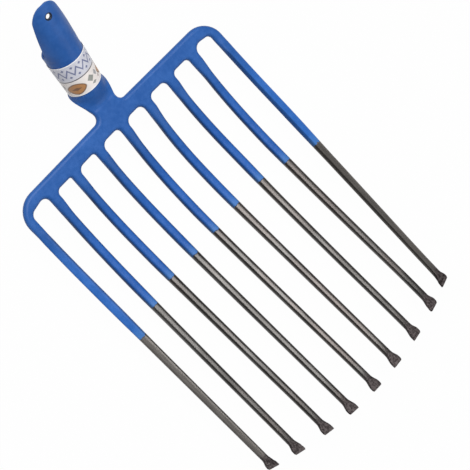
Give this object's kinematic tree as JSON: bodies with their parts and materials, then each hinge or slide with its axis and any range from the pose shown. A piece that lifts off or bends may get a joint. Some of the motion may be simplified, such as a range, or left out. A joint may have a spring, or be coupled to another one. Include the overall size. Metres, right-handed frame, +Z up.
{
  "type": "gravel fork head",
  "caption": "Wide gravel fork head with dished, blade-tipped tines on a crossbar and a rolled, lifted handle socket with a tongue and screw hole.",
  "frame": {"origin": "bottom centre of the whole head as it rests on the bellies of its middle tines, hollow side up", "axes": "+X across the tines, +Y from the tips towards the handle, +Z up out of the hollow side"},
  "size_m": [0.3104, 0.5616, 0.122],
  "materials": {
    "blue_enamel": "gloss blue enamel over forged steel",
    "lacquered_steel": "dark clear lacquer over forged steel; the root ends are dipped in the blue enamel",
    "printed_label": "pale film printed with plain thin bands and small shapes in grey blue and ochre, without words"
  },
  "bodies": {
    "root": {"crossbar": "blue_enamel", "tine_1": "lacquered_steel", "tine_2": "lacquered_steel", "tine_3": "lacquered_steel", "tine_4": "lacquered_steel", "tine_5": "lacquered_steel", "tine_6": "lacquered_steel", "tine_7": "lacquered_steel", "tine_8": "lacquered_steel", "tine_9": "lacquered_steel", "socket": "blue_enamel", "sleeve": "printed_label"}
  },
  "joints": []
}
